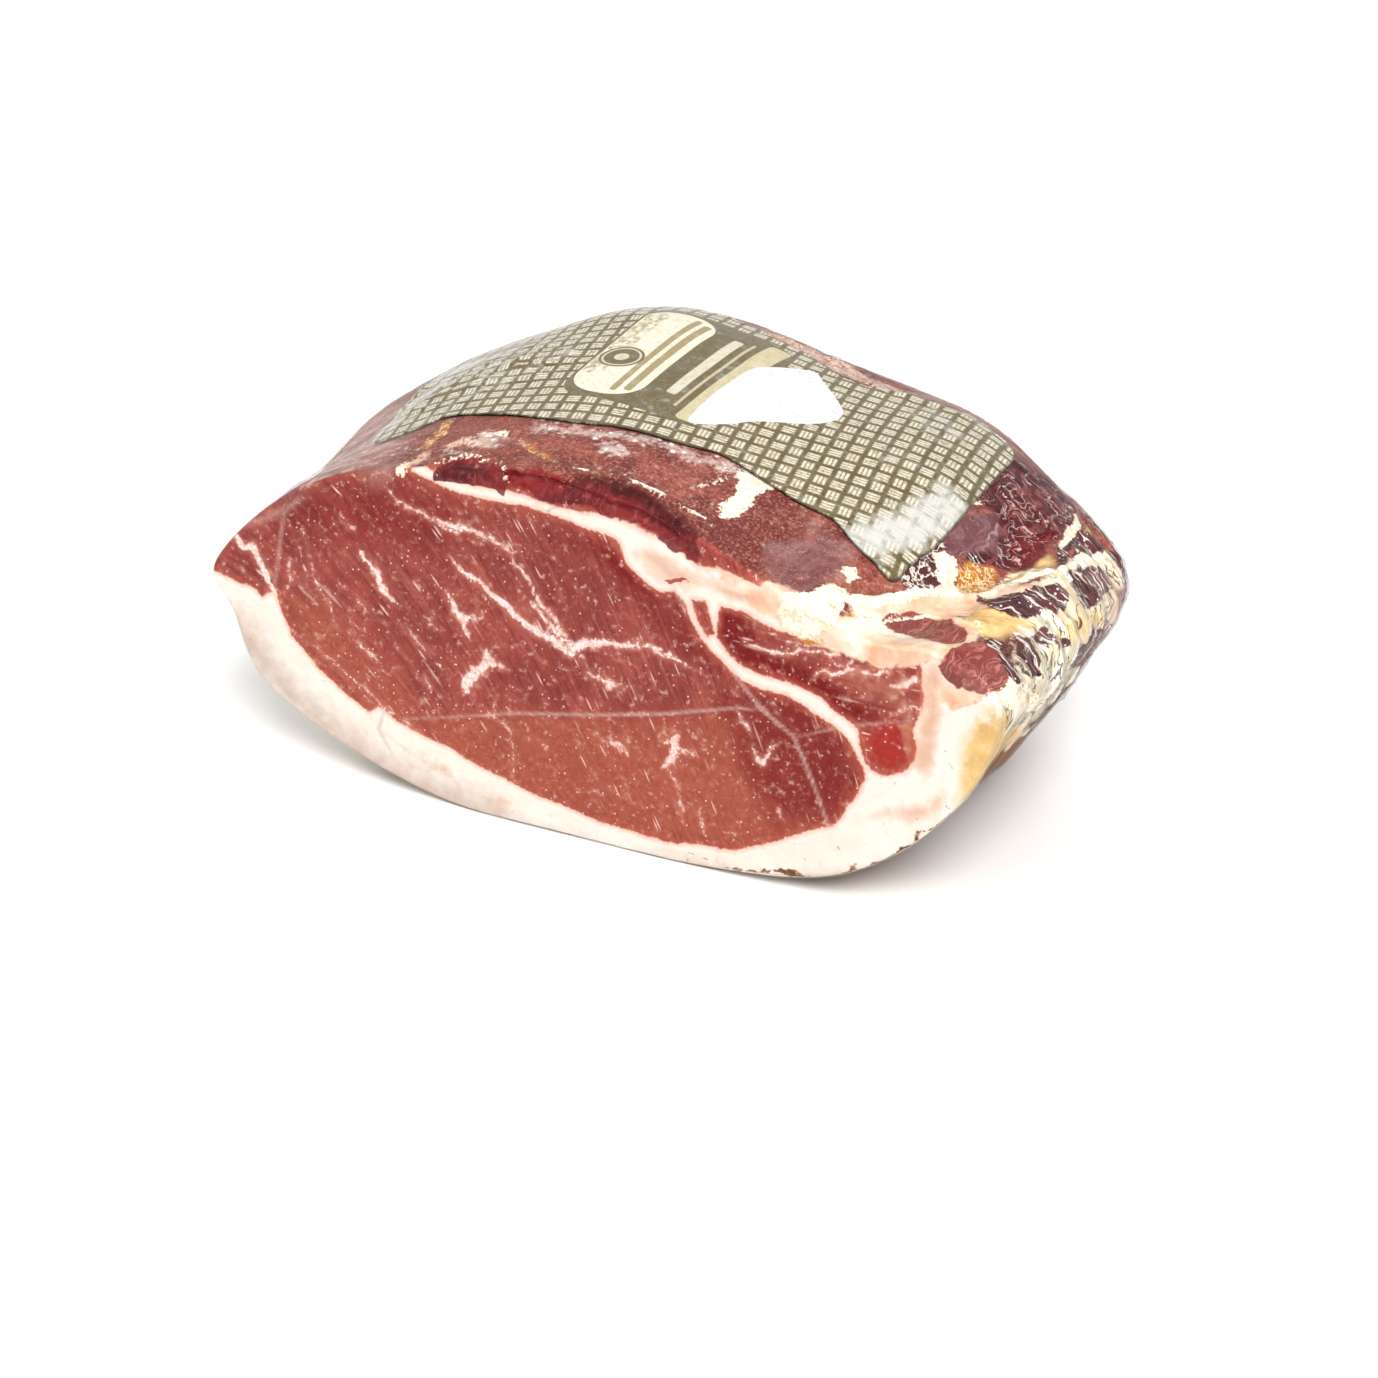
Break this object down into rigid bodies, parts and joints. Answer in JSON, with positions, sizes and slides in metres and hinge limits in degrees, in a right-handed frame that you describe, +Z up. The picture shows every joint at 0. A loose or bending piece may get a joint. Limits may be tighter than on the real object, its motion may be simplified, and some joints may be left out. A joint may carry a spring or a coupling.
{
  "type": "half dry-cured ham",
  "caption": "Boned dry-cured ham, cut across to a flat marbled face, with a white fat cap, dried outer meat and a shrunk clear bag with a printed panel on top",
  "frame": {"origin": "on the surface the ham rests on, under the middle of its box", "axes": "+X to the right across the cut face, +Y from the cut face to the round end, +Z up"},
  "size_m": [0.272, 0.182, 0.1292],
  "materials": {
    "fat_cap": "smooth white outer fat with thin brown rind under the film",
    "fat_seam": "soft cream fat between the muscles",
    "lean_main": "dark rose cured lean, cut smooth, pressed under clear film",
    "lean_side": "bright red cured lean, cut smooth, wet under clear film",
    "lean_top": "weathered brown-red lean with white curing bloom",
    "lean_shank": "dark dried lean with cream streaks and folds",
    "bag_print": "glossy printed film with a plain cream lattice on olive"
  },
  "bodies": {
    "root": {"fat_cap": "fat_cap", "fat_seam": "fat_seam", "lean_main": "lean_main", "lean_side": "lean_side", "lean_top": "lean_top", "lean_shank": "lean_shank", "bag_print": "bag_print"}
  },
  "joints": []
}
